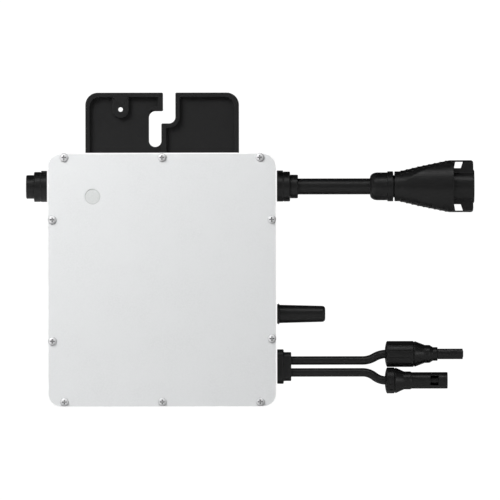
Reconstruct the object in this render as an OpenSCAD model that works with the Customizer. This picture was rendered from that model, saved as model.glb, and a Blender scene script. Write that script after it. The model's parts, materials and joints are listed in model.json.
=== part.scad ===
// Module-level solar inverter: a flat finned aluminium box with a screwed cover, a hook-on rail
// bracket, an AC inlet, an AC lead with a trunk plug, a screw-on antenna and two DC leads.
// Units are millimetres. +Z is up, the cover faces -Y, and the origin is the centre of the rear
// plane, where the fins, the label pad and the bracket touch whatever the inverter is mounted on.

/* [Enclosure] */
// Width of the housing, side to side
body_w = 212; // [206:1:220]
// Height of the housing, without the bracket
body_h = 235; // [228:1:242]
// Depth from the rear plane to the cover's face
body_d = 40; // [39:1:44]
// Radius of the housing's corners
body_r = 13; // [10:1:16]
// Thickness of the side walls
wall = 3.5; // [3:0.5:4]
// Height of the cooling fins
fin_h = 6; // [4:1:7]
// Thickness of the cover plate
cover_t = 2; // [1.5:0.5:2.5]

/* [Bracket] */
// Width of the rail bracket
bracket_w = 142.2; // [134:0.2:150]
// Height of the bracket above the housing
bracket_h = 56; // [54:0.2:60]
// Thickness of the bracket at its rim
bracket_t = 7; // [6.5:0.5:9]
// Thickness of the bracket's web inside the rim
bracket_web = 3; // [2.5:0.5:4]
// Width of the rail bolt's slot
slot_w = 11.5; // [9:0.1:12]

/* [AC side] */
// Height of the AC connectors above the centre
ac_z = 86.3; // [80:0.1:88]
// Radius of the AC bulkhead bodies
ac_base_r = 13.9; // [13:0.1:14]
// Radius of the AC cable
ac_cable_r = 7.4; // [6.5:0.1:7.5]
// Bore of the AC plug's mouth
ac_mouth_r = 14.1; // [14.1:0.05:14.4]

/* [DC side] */
// Height of the DC entry's centre
dc_z = -80; // [-84:0.2:-78]
// Radius of the DC cables
dc_cable_r = 3.9; // [3:0.05:3.9]
// Distance between the DC cables at the entry
dc_pitch = 11; // [10:0.5:12]
// Distance between the DC connectors' axes
dc_plug_pitch = 24.4; // [24.4:0.2:28]

/* [Antenna] */
// Height of the antenna's axis
antenna_z = -31.4; // [-36:0.2:-28]
// Length of the antenna outside the housing
antenna_len = 44.5; // [40:0.5:60]

/* [Hidden] */
$fn = 64;

// Clearances
slip = 0.03;  // a pin or insert held in its own bore
gap = 0.1;    // neighbours that come close without touching

// Depth positions, all negative because the front is -Y
back_y = -fin_h;
floor_t = 3.5;
floor_y = back_y - floor_t;
cover_y = -body_d + cover_t;
gasket_t = 0.8;
rim_y = cover_y + gasket_t;
conn_y = -22.5;

// Housing and cover outlines
inner_w = body_w - 2 * wall;
inner_h = body_h - 2 * wall;
inner_r = body_r - wall;
cover_inset = 1.3;
cover_w = body_w - 2 * cover_inset;
cover_h = body_h - 2 * cover_inset;
cover_r = body_r - cover_inset;
side_x = body_w / 2;
inner_x = inner_w / 2;

// Cover screws: three along the top and bottom, two down each side, not quite level
screw_col = body_w / 2 - 15.7;
screw_top = body_h / 2 - 4.3;
screw_bottom = -body_h / 2 + 5.3;
screw_x = body_w / 2 - 4.8;
cover_points = concat(
    [for (x = [-screw_col, 0, screw_col], z = [screw_top, screw_bottom]) [x, z]],
    [[-screw_x, 55.8], [screw_x, 55.8], [-screw_x, -56.1], [screw_x, -53.9]]
);
m4_shank_r = 1.95;
m4_hole_r = 2;
m4_head_r = 3.95;
m4_head_h = 2.2;
m4_len = 12;
cover_hole_r = 2.25;
boss_r = 4.1;

// Fins and rear pad
fin_t = 2.4;
fin_pitch = 9;
fin_count = floor((body_w - 14) / fin_pitch / 2);
fin_low = -body_h / 2 + 9;
fin_high = 78;
pad_w = 7 * fin_pitch;
pad_h = 46;

// Bracket
bracket_low = 84;
bracket_top = body_h / 2 + bracket_h;
tongue_w = 124;
tongue_t = fin_h;
rim_w = 4;
slot_r = slot_w / 2;
slot_off = slot_w / 2 + 0.75;
slot_seat_z = body_h / 2 + slot_r + 5.8;
link_low = body_h / 2 + 27.5;
link_high = link_low + slot_w - 0.1;
earth_x = -38.5;
earth_z = body_h / 2 + 40.5;
earth_r = 2.15;
earth_boss_r = 7.6;
bracket_screws_at = [for (x = [-52, 52], z = [92, 107]) [x, z]];
bracket_head_r = 3.9;
bracket_head_h = 2.6;
bracket_seat_y = -bracket_head_h - 0.6;
bracket_screw_len = 9;
bracket_boss_r = 4.3;

// Indicator
lens_x = -64;
lens_z = 77.1;
lens_r = 7.1;

// Circuit board
board_w = 176;
board_h = 204;
board_t = 1.6;
board_back_y = floor_y - 4;
board_y = board_back_y - board_t;
board_screws_at = [for (x = [-80, 80], z = [-94, -12, 64]) [x, z]];
standoff_r = 4;
m3_shank_r = 1.45;
m3_hole_r = 1.5;
led_h = 2;

// AC bulkheads, mirrored on the two sides
neck_r = 9.5;
base_len = 6;
collar_len = 6.2;
barrel_len = 7.3;
barrel_r = 10.9;
key_w = 7;
key_top = ac_base_r + 0.9;
neck_in = side_x - 9.5;
base_end = side_x + base_len;
collar_end = base_end + collar_len;
barrel_end = collar_end + barrel_len;
seal_in_r = 10.7;
seal_out_r = 12.3;
seal_t = 1.15;
contact_pitch = 5.6;
pin_tip = barrel_end - 2.5;
pin_r = 1.25;
wire_r = 1.3;
post_x = 80;

// AC lead
droop_x = 140;    // the cable's up-and-down flex point
sway_x = 168;     // the cable's fore-and-aft flex point
droop_max = 20;
sway_max = 25;
cable_in = 99;
plug_nut_x = 192.1;
plug_body_x = 214.7;
plug_cone_x = 219.2;
plug_mid_x = 238;
plug_wide_x = 265.4;
plug_step_x = 269.1;
plug_wing_end = 287.3;
plug_end = 288.3;
plug_rear_r = 13.8;
plug_mid_r = 18.35;
plug_r = 24;
cheek_r = 28;
cheek_tilt = 5.58;
sleeve_r = 15.4;
wing_half = 9;
mouth_len = base_len + collar_len + 0.1;
nose_seat_x = plug_end - mouth_len;

// DC leads
dc_flex_x = 150;
dc_sway_max = 30;
dc_bend_x = 185;
dc_nut_x = 206.6;
dc_plug_drop = 0.8;    // how far the connectors' middle hangs below the entry's
dc_upper = dc_z - dc_plug_drop + dc_plug_pitch / 2;
dc_lower = dc_z - dc_plug_drop - dc_plug_pitch / 2;
dc_nut_r = 12;
dc_cable_inner = 92;
dc_nose_end = 277.9;

// ---------------------------------------------------------------- shared shapes

// A rectangle with round corners, centred, made only of squares and circles.
module rounded_rect(w, h, r) {
    square([w - 2 * r, h], center = true);
    square([w, h - 2 * r], center = true);
    for (sx = [-1, 1], sy = [-1, 1])
        translate([sx * (w / 2 - r), sy * (h / 2 - r)]) circle(r);
}

// Extrudes a front-view drawing (x, z) between two depths.
module deep(front, back) {
    translate([0, back, 0]) rotate([90, 0, 0]) linear_extrude(back - front) children();
}

// Extrudes a side-view drawing (y, z) between two x positions.
module across(x0, x1) {
    translate([x0, 0, 0]) rotate([90, 0, 90]) linear_extrude(x1 - x0) children();
}

// A solid of revolution about the X axis from a list of [x, radius] points.
module turned(profile) {
    rotate([0, 90, 0]) rotate_extrude() polygon([for (p = profile) [p[1], p[0]]]);
}

// A round bar along X.
module bar(x0, x1, r) {
    translate([x0, 0, 0]) rotate([0, 90, 0]) cylinder(r = r, h = x1 - x0);
}

// A round tube along X.
module pipe(x0, x1, outer, inner) {
    difference() {
        bar(x0, x1, outer);
        bar(x0 - 1, x1 + 1, inner);
    }
}

// A quarter-round edge for a turned profile, from the side at x to the end face.
function rim_arc(x, r, edge, steps = 5) =
    [for (i = [0:steps]) let (a = 90 * i / steps) [x - edge + edge * sin(a), r - edge + edge * cos(a)]];

// Moves children to the AC axis, or to a lead's axis.
module on_axis(z) { translate([0, conn_y, z]) children(); }

// Stands children on the board: their Z is the height above it.
module on_board(x, z) { translate([x, board_y, z]) rotate([90, 0, 0]) children(); }

// A pan-head screw pointing along -Z with its head above Z = 0, with a cross recess.
module pan_screw(head_r, head_h, shank_r, len) {
    dome = (head_r * head_r + pow(head_h - 0.6, 2)) / (2 * (head_h - 0.6));
    difference() {
        union() {
            intersection() {
                cylinder(r = head_r, h = head_h);
                translate([0, 0, head_h - dome]) sphere(dome);
            }
            translate([0, 0, -len]) cylinder(r = shank_r, h = len);
        }
        for (a = [0, 90]) rotate([0, 0, a])
            translate([-head_r * 0.55, -head_r * 0.12, head_h * 0.35])
                cube([head_r * 1.1, head_r * 0.24, head_h]);
    }
}

// ---------------------------------------------------------------- enclosure

module port_holes() {
    for (x = [-side_x, inner_x]) on_axis(ac_z) bar(x - 1, x + wall + 1, neck_r + gap);
    on_axis(antenna_z) bar(inner_x - 1, side_x + 1, 3.2);
    on_axis(dc_z) across(inner_x - 1, side_x + 1) rounded_rect(15.2, 22.2, 5.1);
}

module fins() {
    for (i = [-fin_count:fin_count])
        translate([i * fin_pitch - fin_t / 2, back_y, fin_low]) cube([fin_t, fin_h, fin_high - fin_low]);
    deep(back_y, 0) square([pad_w, pad_h], center = true);
}

module housing() {
    color("gainsboro") difference() {
        union() {
            difference() {
                deep(rim_y, back_y) rounded_rect(body_w, body_h, body_r);
                deep(rim_y - 1, floor_y) rounded_rect(inner_w, inner_h, inner_r);
            }
            deep(rim_y, floor_y) for (p = cover_points) translate(p) circle(boss_r);
            deep(board_back_y, floor_y) for (p = board_screws_at) translate(p) circle(standoff_r);
            deep(board_back_y + 0.3, floor_y) for (p = bracket_screws_at)
                translate(p) circle(bracket_boss_r);
            fins();
        }
        deep(rim_y - 1, rim_y + m4_len) for (p = cover_points) translate(p) circle(m4_hole_r);
        deep(board_back_y - 1, board_back_y + 5) for (p = board_screws_at) translate(p) circle(m3_hole_r);
        deep(board_back_y + 1, back_y + 1) for (p = bracket_screws_at) translate(p) circle(m4_hole_r);
        port_holes();
    }
}

module cover_plate() {
    color("whitesmoke") deep(-body_d, cover_y) difference() {
        rounded_rect(cover_w, cover_h, cover_r);
        for (p = cover_points) translate(p) circle(cover_hole_r);
        translate([lens_x, lens_z]) circle(lens_r + 0.05);
    }
}

module cover_gasket() {
    color("dimgray") deep(cover_y, rim_y) difference() {
        union() {
            difference() {
                rounded_rect(cover_w - 0.6, cover_h - 0.6, cover_r - 0.3);
                rounded_rect(inner_w, inner_h, inner_r);
            }
            intersection() {
                rounded_rect(cover_w - 0.6, cover_h - 0.6, cover_r - 0.3);
                for (p = cover_points) translate(p) circle(boss_r - 0.3);
            }
        }
        for (p = cover_points) translate(p) circle(m4_shank_r + gap);
    }
}

module cover_screws() {
    color("silver") for (p = cover_points)
        translate([p[0], -body_d, p[1]]) rotate([90, 0, 0])
            pan_screw(m4_head_r, m4_head_h, m4_shank_r, m4_len);
}

// What rounding takes off a corner at (x, z) of a plate that lies to its left or right (sx) and
// above or below it (sz).
module corner_cut(x, z, sx, sz) {
    r = 1.2;
    translate([x, z]) difference() {
        translate([sx * r / 2, sz * r / 2]) square(r + 0.002, center = true);
        translate([sx * r, sz * r]) circle(r);
    }
}

// The Z-shaped opening: down from the top edge, across, and down again to the bolt's seat.
module rail_slot() {
    turn_r = 6;
    difference() {
        union() {
            translate([slot_off - slot_r, link_low]) square([slot_w, bracket_top + 1 - link_low]);
            translate([-slot_off - slot_r, link_low])
                square([2 * (slot_off + slot_r), link_high - link_low]);
            translate([-slot_off - slot_r, slot_seat_z]) square([slot_w, link_high - slot_seat_z]);
        }
        translate([-slot_off - slot_r - 1, link_high - turn_r]) square([turn_r + 1, turn_r + 1]);
        translate([slot_off + slot_r - turn_r, link_low - 1]) square([turn_r + 1, turn_r + 1]);
    }
    translate([-slot_off - slot_r + turn_r, link_high - turn_r]) circle(turn_r);
    translate([slot_off + slot_r - turn_r, link_low + turn_r]) circle(turn_r);
    translate([-slot_off, slot_seat_z]) circle(slot_r);
    corner_cut(slot_off - slot_r, bracket_top, -1, -1);
    corner_cut(slot_off + slot_r, bracket_top, 1, -1);
    corner_cut(slot_off - slot_r, link_high, -1, 1);
    corner_cut(-slot_off + slot_r, link_low, 1, -1);
}

module flange_outline(inset) {
    r = 11.5 - inset / 2;
    w = bracket_w - 2 * inset;
    low = body_h / 2 + 0.3;
    difference() {
        translate([0, bracket_top - inset - 60]) rounded_rect(w, 120, r);
        translate([-bracket_w, low - 90]) square([2 * bracket_w, 90]);
    }
}

// What the rim encloses: two shallow pockets. The earth boss and the slot's borders stay standing.
module pockets() {
    right_of_slot = -slot_off + slot_r;
    difference() {
        flange_outline(rim_w);
        translate([right_of_slot, body_h / 2]) square([rim_w + 0.6, link_low - body_h / 2]);
        translate([right_of_slot, link_low - rim_w])
            square([slot_off + slot_r - right_of_slot - 6, rim_w + 1]);
        translate([slot_off + slot_r, link_low + 6]) square([rim_w, bracket_top - link_low]);
        difference() {
            translate([slot_off + slot_r - 6, link_low + 6]) circle(6 + rim_w);
            translate([slot_off - slot_r - 20, link_low + 6]) square([80, 40]);
            translate([slot_off + slot_r - 46, link_low - 20]) square([40, 60]);
        }
        translate([slot_off - slot_r - 4.6, link_high]) square([4.6, bracket_top - link_high]);
        translate([-8, link_high]) square([slot_off - slot_r + 8, rim_w]);
        translate([-8, link_high + rim_w / 2]) circle(rim_w / 2);
        translate([earth_x, earth_z]) circle(earth_boss_r);
        translate([earth_x - earth_boss_r, earth_z]) square([2 * earth_boss_r, bracket_top - earth_z]);
    }
}

module mounting_bracket() {
    color("#2b2b2b") difference() {
        union() {
            deep(-bracket_t, 0) flange_outline(0);
            translate([-tongue_w / 2, -tongue_t, bracket_low])
                cube([tongue_w, tongue_t, body_h / 2 + 0.3 - bracket_low]);
        }
        deep(-bracket_t - 1, -bracket_web) pockets();
        deep(-bracket_t - 1, 1) rail_slot();
        deep(-bracket_t - 1, 1) translate([earth_x, earth_z]) circle(earth_r);
        deep(-tongue_t - 1, 1) for (p = bracket_screws_at) translate(p) circle(cover_hole_r);
        deep(bracket_seat_y, 1) for (p = bracket_screws_at) translate(p) circle(bracket_head_r + 0.5);
    }
}

module bracket_screws() {
    color("silver") for (p = bracket_screws_at) translate([p[0], bracket_seat_y, p[1]]) rotate([-90, 0, 0])
        pan_screw(bracket_head_r, bracket_head_h, m4_shank_r, bracket_screw_len);
}

// The lens fills the cover's window, has a shoulder behind it, and a light pipe down to the LED.
module indicator_lens() {
    pipe_end = board_y - led_h - 0.4;
    color("#d8dad9") union() {
        deep(-body_d + 0.25, cover_y) translate([lens_x, lens_z]) circle(lens_r);
        deep(cover_y, cover_y + 1) translate([lens_x, lens_z]) circle(lens_r + 1.8);
        deep(cover_y + 1, pipe_end) translate([lens_x, lens_z]) circle(2.5);
    }
}

// ---------------------------------------------------------------- electronics

module status_led() {
    color("lightgreen") on_board(lens_x, lens_z) {
        translate([-1.7, -1.5, 0]) cube([3.4, 3, 1]);
        translate([0, 0, 1]) cylinder(r = 1.2, h = led_h - 1);
    }
}

module main_board() {
    color("darkgreen") deep(board_y, board_back_y) difference() {
        rounded_rect(board_w, board_h, 3);
        for (p = board_screws_at) translate(p) circle(1.7);
    }
}

module board_screws() {
    color("silver") for (p = board_screws_at)
        on_board(p[0], p[1]) pan_screw(2.8, 2, m3_shank_r, board_t + 4);
}

module potting_compound() {
    color("#3a3a3f") difference() {
        deep(board_back_y, floor_y) difference() {
            rounded_rect(inner_w - gap, inner_h - gap, inner_r - gap);
            for (p = cover_points) translate(p) circle(boss_r + gap / 2);
            for (p = board_screws_at) translate(p) circle(standoff_r + gap / 2);
        }
        deep(board_back_y + 0.2, floor_y + 1) for (p = bracket_screws_at)
            translate(p) circle(bracket_boss_r + gap / 2);
        for (x = [-side_x, neck_in - 1]) on_axis(ac_z) bar(x, x + side_x - neck_in + 1, 13.4);
        on_axis(dc_z) across(neck_in - 1, side_x) rounded_rect(22, 30, 5);
    }
}

transformer_at = [[-42, -66], [0, -66]];
core_w = 36;
core_d = 12;
core_h = 20;
leg_w = 9;
window_w = 8.5;
window_h = 11;

module transformer_cores() {
    color("#4a4a4a") for (p = transformer_at) on_board(p[0], p[1]) difference() {
        translate([-core_w / 2, -core_d / 2, 0.5]) cube([core_w, core_d, core_h]);
        for (s = [-1, 1])
            translate([s * (leg_w + window_w) / 2 - window_w / 2, -core_d, 0.5 + (core_h - window_h) / 2])
                cube([window_w, 2 * core_d, window_h]);
    }
}

module transformer_windings() {
    color("goldenrod") for (p = transformer_at) on_board(p[0], p[1])
        translate([0, 0, 0.5 + (core_h - window_h) / 2 + gap])
            linear_extrude(window_h - 2 * gap) difference() {
                rounded_rect(leg_w + 2 * window_w - 2 * gap, 26, 4);
                square([leg_w + 2 * gap, core_d + 2 * gap], center = true);
            }
}

module dc_capacitors() {
    color("#26324a") for (x = [36, 55], z = [-72, -91]) on_board(x, z) {
        cylinder(r = 8, h = 19);
        translate([0, 0, 19]) cylinder(r = 6.8, h = 0.6);
    }
}

module power_transistors() {
    color("#222222") for (p = [[-58, -38], [-42, -38], [-12, -38], [4, -38], [-30, 2], [-14, 2]])
        on_board(p[0], p[1]) {
            translate([-5, -4.5, 0]) cube([10, 9, 4.4]);
            translate([-5, 4.5, 0]) cube([10, 3, 1.3]);
            for (x = [-3, 0, 3]) translate([x - 0.5, -8.5, 0]) cube([1, 4, 0.8]);
        }
}

choke_at = [-48, 30];
choke_in = 8;
choke_out = 14;
choke_h = 10;

module choke_core() {
    color("#3f4a3a") on_board(choke_at[0], choke_at[1]) translate([0, 0, 1.2])
        difference() {
            cylinder(r = choke_out, h = choke_h);
            translate([0, 0, -1]) cylinder(r = choke_in, h = choke_h + 2);
        }
}

module choke_windings() {
    turns = 8;
    step = 14;
    wire = 1.2;
    color("chocolate") on_board(choke_at[0], choke_at[1]) translate([0, 0, 1.2])
        for (side = [0, 180], i = [0:turns - 1])
            rotate([0, 0, side + (i - (turns - 1) / 2) * step]) difference() {
                translate([choke_in - 1, -wire / 2, -1])
                    cube([choke_out - choke_in + 2, wire, choke_h + 2]);
                translate([choke_in - gap, -wire, -gap])
                    cube([choke_out - choke_in + 2 * gap, 2 * wire, choke_h + 2 * gap]);
            }
}

module film_capacitors() {
    color("#b9a53a") for (z = [14, 28, 42]) on_board(12, z) linear_extrude(17) rounded_rect(26, 10, 1);
}

module grid_relays() {
    color("#303a44") for (z = [70, 88]) on_board(48, z) linear_extrude(16) rounded_rect(29, 12.6, 1);
}

module line_fuse() {
    color("ivory") on_board(2, 80) translate([0, 0, 3.2]) {
        rotate([0, 90, 0]) cylinder(r = 2.6, h = 20, center = true);
        for (s = [-1, 1]) translate([s * 8 - 2, -2.9, -3.2]) cube([4, 5.8, 3.2]);
    }
}

module surge_varistor() {
    color("steelblue") on_board(-30, 80) translate([0, 0, 9])
        rotate([90, 0, 0]) cylinder(r = 7.5, h = 5, center = true);
    color("silver") on_board(-30, 80) for (s = [-1, 1]) translate([s * 3.7, 0, 0]) cylinder(r = 0.5, h = 3);
}

// Each chip: x, z, width, height on the board, thickness.
chips = [
    [44, 18, 14, 14, 1.5], [44, 40, 7, 5, 1.4], [66, 22, 8, 6, 1.6],
    [66, 38, 5, 4, 1.2], [-20, -14, 6, 5, 1.5]
];

module control_chips() {
    color("#1c1c1c") for (c = chips)
        on_board(c[0], c[1]) linear_extrude(c[4]) square([c[2], c[3]], center = true);
}

module wireless_module() {
    color("silver") on_board(66, antenna_z) {
        linear_extrude(0.9) square([18, 24], center = true);
        translate([0, 2.5, 0.9]) linear_extrude(2.1) rounded_rect(15.5, 16, 0.6);
    }
}

module terminal_posts() {
    top = board_y - conn_y + 2.2;
    color("gold") {
        for (s = [-1, 1], i = [-1:1]) on_board(s * post_x, ac_z + i * contact_pitch)
            linear_extrude(top) square([4, 4], center = true);
        for (i = [-1, 1]) on_board(post_x, dc_z + i * dc_pitch / 2)
            linear_extrude(top + 0.6) square([6, 6], center = true);
    }
}

// ---------------------------------------------------------------- antenna

jack_r = 3.1;
antenna_base_x = side_x + 0.85;
antenna_end = side_x + antenna_len;

module antenna_jack() {
    color("gold") on_axis(antenna_z) {
        bar(inner_x - 5.5, side_x + 8, jack_r);
        translate([inner_x - 3.5, 0, 0]) rotate([0, 90, 0]) cylinder(r = 4.6, h = 3.5, $fn = 6);
    }
}

module antenna_pigtail() {
    color("#4b3a2a") {
        on_axis(antenna_z) bar(72, inner_x - 5.5, 1);
        on_board(72, antenna_z) translate([0, 0, 3.05]) cylinder(r = 1.6, h = board_y - conn_y - 1.5);
    }
}

module antenna_seal() {
    color("#181818") on_axis(antenna_z) pipe(side_x, antenna_base_x - 0.05, 9, 5.8);
}

module antenna_shell() {
    color("#202020") on_axis(antenna_z) difference() {
        turned(concat(
            [[antenna_base_x, 0], [antenna_base_x, 9.5]],
            [[antenna_base_x + 1, 9.5], [antenna_base_x + 1.4, 8.45]],
            rim_arc(antenna_end, 7.4, 2.8),
            [[antenna_end, 0]]
        ));
        bar(antenna_base_x - 1, antenna_base_x + 1.6, 5.2);
        bar(antenna_base_x, side_x + 9, jack_r + 0.05);
        bar(side_x + 9, antenna_end - 4, 4);
    }
}

module antenna_element() {
    color("goldenrod") on_axis(antenna_z) {
        bar(side_x + 9.2, side_x + 11, 3.9);
        bar(side_x + 11, side_x + 24, 2.4);
        bar(side_x + 24, antenna_end - 6, 1.1);
    }
}

// ---------------------------------------------------------------- bulkheads

module bulkhead_seals() {
    color("#151515") {
        on_axis(ac_z) {
            pipe(-side_x - seal_t, -side_x, seal_out_r, seal_in_r);
            pipe(side_x, side_x + seal_t, seal_out_r, seal_in_r);
        }
        on_axis(dc_z) across(side_x, side_x + seal_t) difference() {
            rounded_rect(18.2, 25.2, 6.1);
            rounded_rect(16.2, 23.2, 5.4);
        }
    }
}

module bulkhead_locknuts() {
    color("#303030") {
        for (x = [-inner_x, inner_x - 5]) on_axis(ac_z) translate([x, 0, 0]) difference() {
            rotate([0, 90, 0]) rotate([0, 0, 90]) cylinder(r = 12.7, h = 5, $fn = 6);
            bar(-1, 6, neck_r + slip);
        }
        on_axis(dc_z) across(inner_x - 3.5, inner_x) difference() {
            rounded_rect(20, 27, 4);
            rounded_rect(15.1, 22.1, 5.05);
        }
        on_axis(antenna_z) translate([side_x, 0, 0]) difference() {
            rotate([0, 90, 0]) cylinder(r = 4.6, h = 1.8, $fn = 6);
            bar(-1, 3, jack_r + slip);
        }
    }
}

// The shared outer form of the two AC bulkheads: neck, seal groove, keyed base and collar.
module ac_bulkhead() {
    difference() {
        union() {
            bar(neck_in, side_x, neck_r);
            turned([
                [side_x, 0], [side_x, ac_base_r],
                [base_end - 0.4, ac_base_r], [base_end, ac_base_r - 0.5], [base_end, 0]
            ]);
            turned([
                [base_end, 0], [base_end, ac_base_r - 0.5], [base_end + 0.4, ac_base_r - 0.1],
                [collar_end - 0.6, ac_base_r - 0.1], [collar_end, ac_base_r - 0.7], [collar_end, 0]
            ]);
            translate([side_x, -key_w / 2, ac_base_r - 1])
                cube([base_len - 0.4, key_w, key_top - ac_base_r + 1]);
        }
        pipe(side_x - 1, side_x + seal_t + 0.05, seal_out_r + 0.05, seal_in_r - 0.05);
    }
}

module ac_inlet_shell() {
    recess = barrel_end - 11.5;
    color("#1f1f1f") on_axis(ac_z) mirror([1, 0, 0]) difference() {
        union() {
            ac_bulkhead();
            turned(concat(
                [[collar_end, 0], [collar_end, barrel_r]],
                rim_arc(barrel_end, barrel_r, 1.2),
                [[barrel_end, 0]]
            ));
        }
        bar(recess, barrel_end + 1, 9.3);
        bar(neck_in - 1, recess + 1, 8);
    }
}

module contact_row() { for (i = [-1:1]) translate([0, 0, i * contact_pitch]) children(); }

module ac_inlet_insert() {
    color("#3a3a3a") on_axis(ac_z) difference() {
        bar(-(barrel_end - 12), -(neck_in + 1.5), 8 - slip);
        contact_row() bar(-barrel_end, -neck_in, pin_r + slip);
    }
}

module ac_inlet_pins() {
    color("gold") on_axis(ac_z) contact_row() {
        bar(-pin_tip, -pin_tip + 0.8, pin_r - 0.3);
        bar(-pin_tip + 0.8, -94, pin_r);
    }
}

module ac_gland_body() {
    color("#1f1f1f") on_axis(ac_z) difference() {
        union() {
            ac_bulkhead();
            bar(collar_end, collar_end + 3, 9.35);
        }
        bar(neck_in - 1, collar_end + 4, ac_cable_r + gap);
    }
}

module ac_gland_bush() {
    color("#101010") on_axis(ac_z) pipe(collar_end + 3.1, collar_end + 4.6, 9.25, ac_cable_r + 0.05);
}

module ac_gland_nut() {
    color("#242424") on_axis(ac_z) difference() {
        turned(concat(
            [[collar_end + gap, 0], [collar_end + gap, barrel_r]],
            rim_arc(barrel_end, barrel_r, 1),
            [[barrel_end, 0]]
        ));
        bar(collar_end - 1, collar_end + 4.8, 9.4);
        bar(collar_end, barrel_end + 1, ac_cable_r + 0.15);
    }
}

module ac_wires() {
    color("sienna") on_axis(ac_z) contact_row() {
        bar(-93.9, -post_x - 2, wire_r);
        bar(post_x + 2, cable_in, wire_r);
    }
}

// ---------------------------------------------------------------- AC lead

// How far a fixed cable stops short of its flex point, so the moving part can tilt by angle.
function flex_gap(r, angle) = r * sin(angle) + 0.6;

// The hollow that a flexing cable's round end turns in.
module flex_cup(x, r) { translate([x, 0, 0]) sphere(r + gap); }

module ac_cable_tail() {
    color("#1a1a1a") on_axis(ac_z) difference() {
        bar(cable_in, droop_x - flex_gap(ac_cable_r, droop_max), ac_cable_r);
        flex_cup(droop_x, ac_cable_r);
    }
}

module ac_cable_middle() {
    color("#1a1a1a") on_axis(ac_z) {
        difference() {
            bar(droop_x, sway_x - flex_gap(ac_cable_r, sway_max), ac_cable_r);
            flex_cup(sway_x, ac_cable_r);
        }
        translate([droop_x, 0, 0]) sphere(ac_cable_r);
    }
}

module ac_cable_end() {
    sheath_end = 218;
    color("#1a1a1a") on_axis(ac_z) {
        bar(sway_x, sheath_end, ac_cable_r);
        translate([sway_x, 0, 0]) sphere(ac_cable_r);
        contact_row() bar(sheath_end, 255, wire_r);
    }
}

module ac_plug_nut() {
    collar_x = 208.2;
    nut_end = 213.4;
    color("#222222") on_axis(ac_z) difference() {
        turned(concat(
            [[plug_nut_x, 0], [plug_nut_x, 8.2]],
            [for (i = [1:8]) let (a = 90 * i / 8) [plug_nut_x + 6.8 * (1 - cos(a)), 8.2 + 4.65 * sin(a)]],
            [[collar_x - 0.1, 12.85], [collar_x, 13.9]],
            [[nut_end - 0.4, 13.9], [nut_end, 13.5], [nut_end, 0]]
        ));
        bar(plug_nut_x - 1, nut_end, ac_cable_r + 0.15);
        bar(201, nut_end + 1, 10.4);
    }
}

module ac_plug_bush() {
    color("#101010") on_axis(ac_z) pipe(203.2, 212, 8.5, ac_cable_r + 0.05);
}

// The plug cone's radius at x.
function cone_r(x) = x < plug_mid_x
    ? plug_rear_r + (plug_mid_r - plug_rear_r) * (x - plug_cone_x) / (plug_mid_x - plug_cone_x)
    : plug_mid_r + (plug_r - plug_mid_r) * (x - plug_mid_x) / (plug_wide_x - plug_mid_x);

// Grip ribs near the top and bottom of the plug's cone.
module grip_ribs() {
    count = 9;
    rise = 0.1;
    rib = 2;
    half_w = 9;
    span = plug_wide_x - plug_cone_x;
    intersection() {
        for (i = [0:count - 1])
            let (x = plug_cone_x + 1 + i * span / count) bar(x, x + rib, cone_r(x + rib) + rise);
        translate([plug_cone_x, -half_w, -40]) cube([span, 2 * half_w, 80]);
    }
}

// A large slanted cylinder whose near side is the plug's gently curved front (side -1) or back.
module cheek(side) {
    translate([plug_body_x, side * (plug_rear_r + 0.05 - cheek_r), 0]) rotate([0, 0, side * cheek_tilt])
        bar(-4, plug_step_x - plug_body_x + 6, cheek_r);
}

module ac_plug_outer() {
    intersection() {
        turned([
            [plug_body_x, 0], [plug_body_x, plug_rear_r], [plug_cone_x, plug_rear_r],
            [plug_mid_x, plug_mid_r], [plug_wide_x, plug_r],
            [plug_step_x - 0.5, plug_r], [plug_step_x, plug_r - 0.5], [plug_step_x, 0]
        ]);
        cheek(-1);
        cheek(1);
    }
    grip_ribs();
    turned([
        [plug_step_x, 0], [plug_step_x, sleeve_r],
        [plug_end - 0.5, sleeve_r], [plug_end, sleeve_r - 0.5], [plug_end, 0]
    ]);
    bar(203, plug_body_x, 10.3);
    intersection() {
        turned(concat(
            [[plug_step_x - 1, 0], [plug_step_x - 1, plug_r]],
            rim_arc(plug_wing_end, plug_r, 2.1),
            [[plug_wing_end, 0]]
        ));
        translate([plug_step_x - 1, -wing_half, -30]) cube([30, 2 * wing_half, 60]);
    }
}

module ac_plug_shell() {
    color("#1f1f1f") on_axis(ac_z) difference() {
        ac_plug_outer();
        for (s = [-1, 1])
            translate([0, 30, 0]) rotate([90, 0, 0]) linear_extrude(60)
                polygon([[269.5, s * 16.65], [276, s * 16.65], [278, s * 22.5], [270.6, s * 22.5]]);
        bar(202, plug_body_x + 2, 8.6);
        bar(plug_body_x + 2, nose_seat_x, 11.2);
        bar(nose_seat_x, plug_end + 1, ac_mouth_r);
        translate([plug_end - base_len, -key_w / 2 - 0.2, 0])
            cube([base_len + 1, key_w + 0.4, key_top + 0.15]);
    }
}

module ac_plug_insert() {
    color("#3a3a3a") on_axis(ac_z) difference() {
        union() {
            bar(254, 266, 11.2 - slip);
            bar(266, nose_seat_x, 9);
        }
        contact_row() bar(250, 290, 1.6 + slip);
    }
}

module ac_plug_contacts() {
    color("gold") on_axis(ac_z) contact_row() difference() {
        bar(255.1, nose_seat_x - 0.4, 1.6);
        bar(262, plug_end, pin_r + slip);
    }
}

// ---------------------------------------------------------------- DC leads

module dc_holes(r) { for (i = [-1, 1]) translate([0, i * dc_pitch / 2]) circle(r); }

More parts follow.
